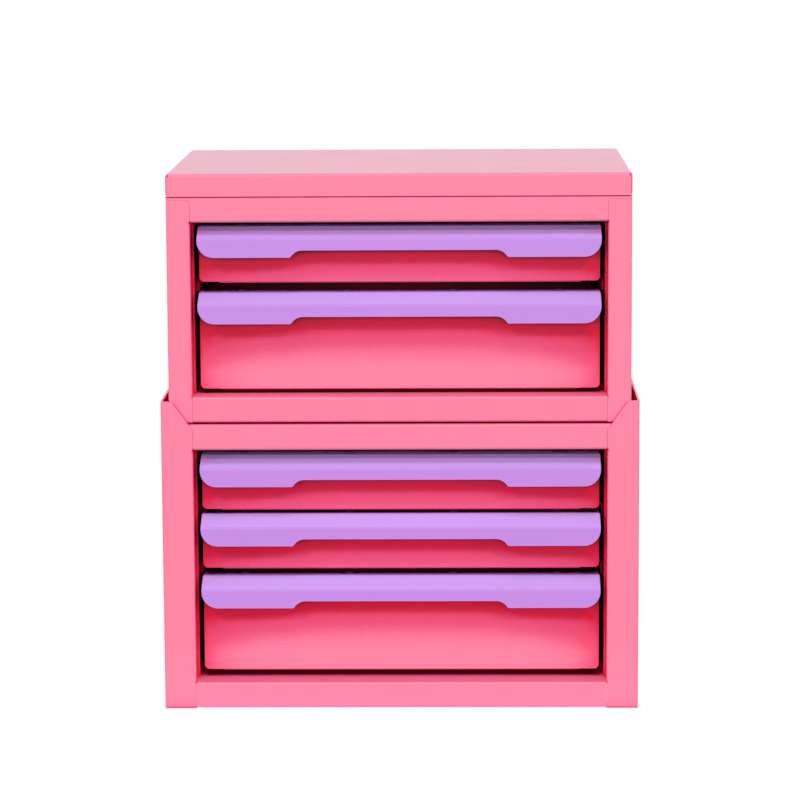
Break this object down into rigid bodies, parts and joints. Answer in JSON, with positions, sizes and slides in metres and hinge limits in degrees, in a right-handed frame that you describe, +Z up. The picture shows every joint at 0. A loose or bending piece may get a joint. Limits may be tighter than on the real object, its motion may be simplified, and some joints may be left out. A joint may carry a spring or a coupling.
{
  "type": "desktop mini drawers",
  "caption": "Two stacked folded sheet-metal drawer units with full-width folded pulls; the upper unit stands between raised ears and the drawers slide out.",
  "frame": {"origin": "centre of the footprint, on the surface that the lower unit stands on", "axes": "+X to the right seen from the front, +Y towards the back, +Z up; the drawers open towards -Y"},
  "size_m": [0.2, 0.134, 0.2265],
  "materials": {
    "carcass_coat": "satin pink powder coat",
    "drawer_coat": "satin pink powder coat",
    "pull_coat": "satin lilac powder coat",
    "rivet_steel": "plain steel"
  },
  "bodies": {
    "lower_unit": {"lower_left_side": "carcass_coat", "lower_right_side": "carcass_coat", "lower_top_panel": "carcass_coat", "lower_bottom_panel": "carcass_coat", "lower_back_panel": "carcass_coat", "lower_left_guide": "carcass_coat", "lower_right_guide": "carcass_coat", "drawer_3_left_runner": "carcass_coat", "drawer_3_right_runner": "carcass_coat", "drawer_4_left_runner": "carcass_coat", "drawer_4_right_runner": "carcass_coat", "drawer_5_left_runner": "carcass_coat", "drawer_5_right_runner": "carcass_coat"},
    "upper_unit": {"upper_left_side": "carcass_coat", "upper_right_side": "carcass_coat", "upper_top_panel": "carcass_coat", "upper_bottom_panel": "carcass_coat", "upper_back_panel": "carcass_coat", "upper_left_guide": "carcass_coat", "upper_right_guide": "carcass_coat", "top_cap": "carcass_coat", "drawer_1_left_runner": "carcass_coat", "drawer_1_right_runner": "carcass_coat", "drawer_2_left_runner": "carcass_coat", "drawer_2_right_runner": "carcass_coat"},
    "drawer_1": {"drawer_1_tray": "drawer_coat", "drawer_1_front": "drawer_coat", "drawer_1_pull": "pull_coat", "drawer_1_rivets": "rivet_steel"},
    "drawer_2": {"drawer_2_tray": "drawer_coat", "drawer_2_front": "drawer_coat", "drawer_2_pull": "pull_coat", "drawer_2_rivets": "rivet_steel"},
    "drawer_3": {"drawer_3_tray": "drawer_coat", "drawer_3_front": "drawer_coat", "drawer_3_pull": "pull_coat", "drawer_3_rivets": "rivet_steel"},
    "drawer_4": {"drawer_4_tray": "drawer_coat", "drawer_4_front": "drawer_coat", "drawer_4_pull": "pull_coat", "drawer_4_rivets": "rivet_steel"},
    "drawer_5": {"drawer_5_tray": "drawer_coat", "drawer_5_front": "drawer_coat", "drawer_5_pull": "pull_coat", "drawer_5_rivets": "rivet_steel"}
  },
  "joints": [
    {"name": "upper_unit_lift", "type": "slide", "parent": "lower_unit", "child": "upper_unit", "axis": [0, 0, 1], "range_m": [0, 0.025]},
    {"name": "drawer_1_slide", "type": "slide", "parent": "upper_unit", "child": "drawer_1", "axis": [0, -1, 0], "range_m": [0, 0.1]},
    {"name": "drawer_2_slide", "type": "slide", "parent": "upper_unit", "child": "drawer_2", "axis": [0, -1, 0], "range_m": [0, 0.1]},
    {"name": "drawer_3_slide", "type": "slide", "parent": "lower_unit", "child": "drawer_3", "axis": [0, -1, 0], "range_m": [0, 0.1]},
    {"name": "drawer_4_slide", "type": "slide", "parent": "lower_unit", "child": "drawer_4", "axis": [0, -1, 0], "range_m": [0, 0.1]},
    {"name": "drawer_5_slide", "type": "slide", "parent": "lower_unit", "child": "drawer_5", "axis": [0, -1, 0], "range_m": [0, 0.1]}
  ]
}
